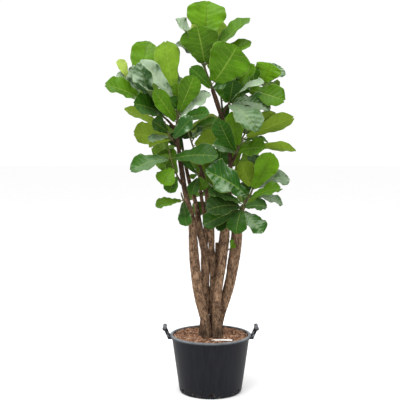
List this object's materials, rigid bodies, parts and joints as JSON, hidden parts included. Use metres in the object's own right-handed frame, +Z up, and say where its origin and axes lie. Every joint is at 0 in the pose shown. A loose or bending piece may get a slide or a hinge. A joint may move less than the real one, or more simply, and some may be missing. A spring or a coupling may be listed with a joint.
{
  "type": "potted fiddle leaf fig",
  "caption": "Potted fiddle leaf fig: a cluster of woody stems with large leathery leaves, standing in a tapered nursery pot with loop handles.",
  "frame": {"origin": "centre of the pot's resting face, on the floor", "axes": "+Z up; -Y is the front that the picture shows; +X is to the right of it"},
  "size_m": [1.1547, 0.7389, 2.4031],
  "materials": {
    "pot_plastic": "matte moulded plastic, near-black grey",
    "soil": "coarse reddish-brown bark and coco chips",
    "label": "plain white, bare",
    "bark": "rough grey-brown bark",
    "leaf": "leathery glossy green upper side, duller underside, pale veins"
  },
  "bodies": {
    "root": {"pot": "pot_plastic", "soil": "soil", "plant_label": "label", "stem_a": "bark", "stem_b": "bark", "stem_c": "bark", "stem_d": "bark", "stem_e": "bark", "stem_f": "bark", "top_shoot": "leaf", "right_upper_shoot": "leaf", "right_middle_shoot": "leaf", "right_lower_shoot": "leaf", "right_bottom_shoot": "leaf", "left_upper_shoot": "leaf", "left_far_shoot": "leaf", "left_middle_shoot": "leaf", "left_lower_shoot": "leaf", "left_bottom_shoot": "leaf", "centre_shoot": "leaf", "inner_shoot": "leaf", "rear_left_shoot": "leaf", "rear_upper_shoot": "leaf", "rear_right_shoot": "leaf", "rear_lower_shoot": "leaf", "stem_sprout": "leaf"}
  },
  "joints": []
}
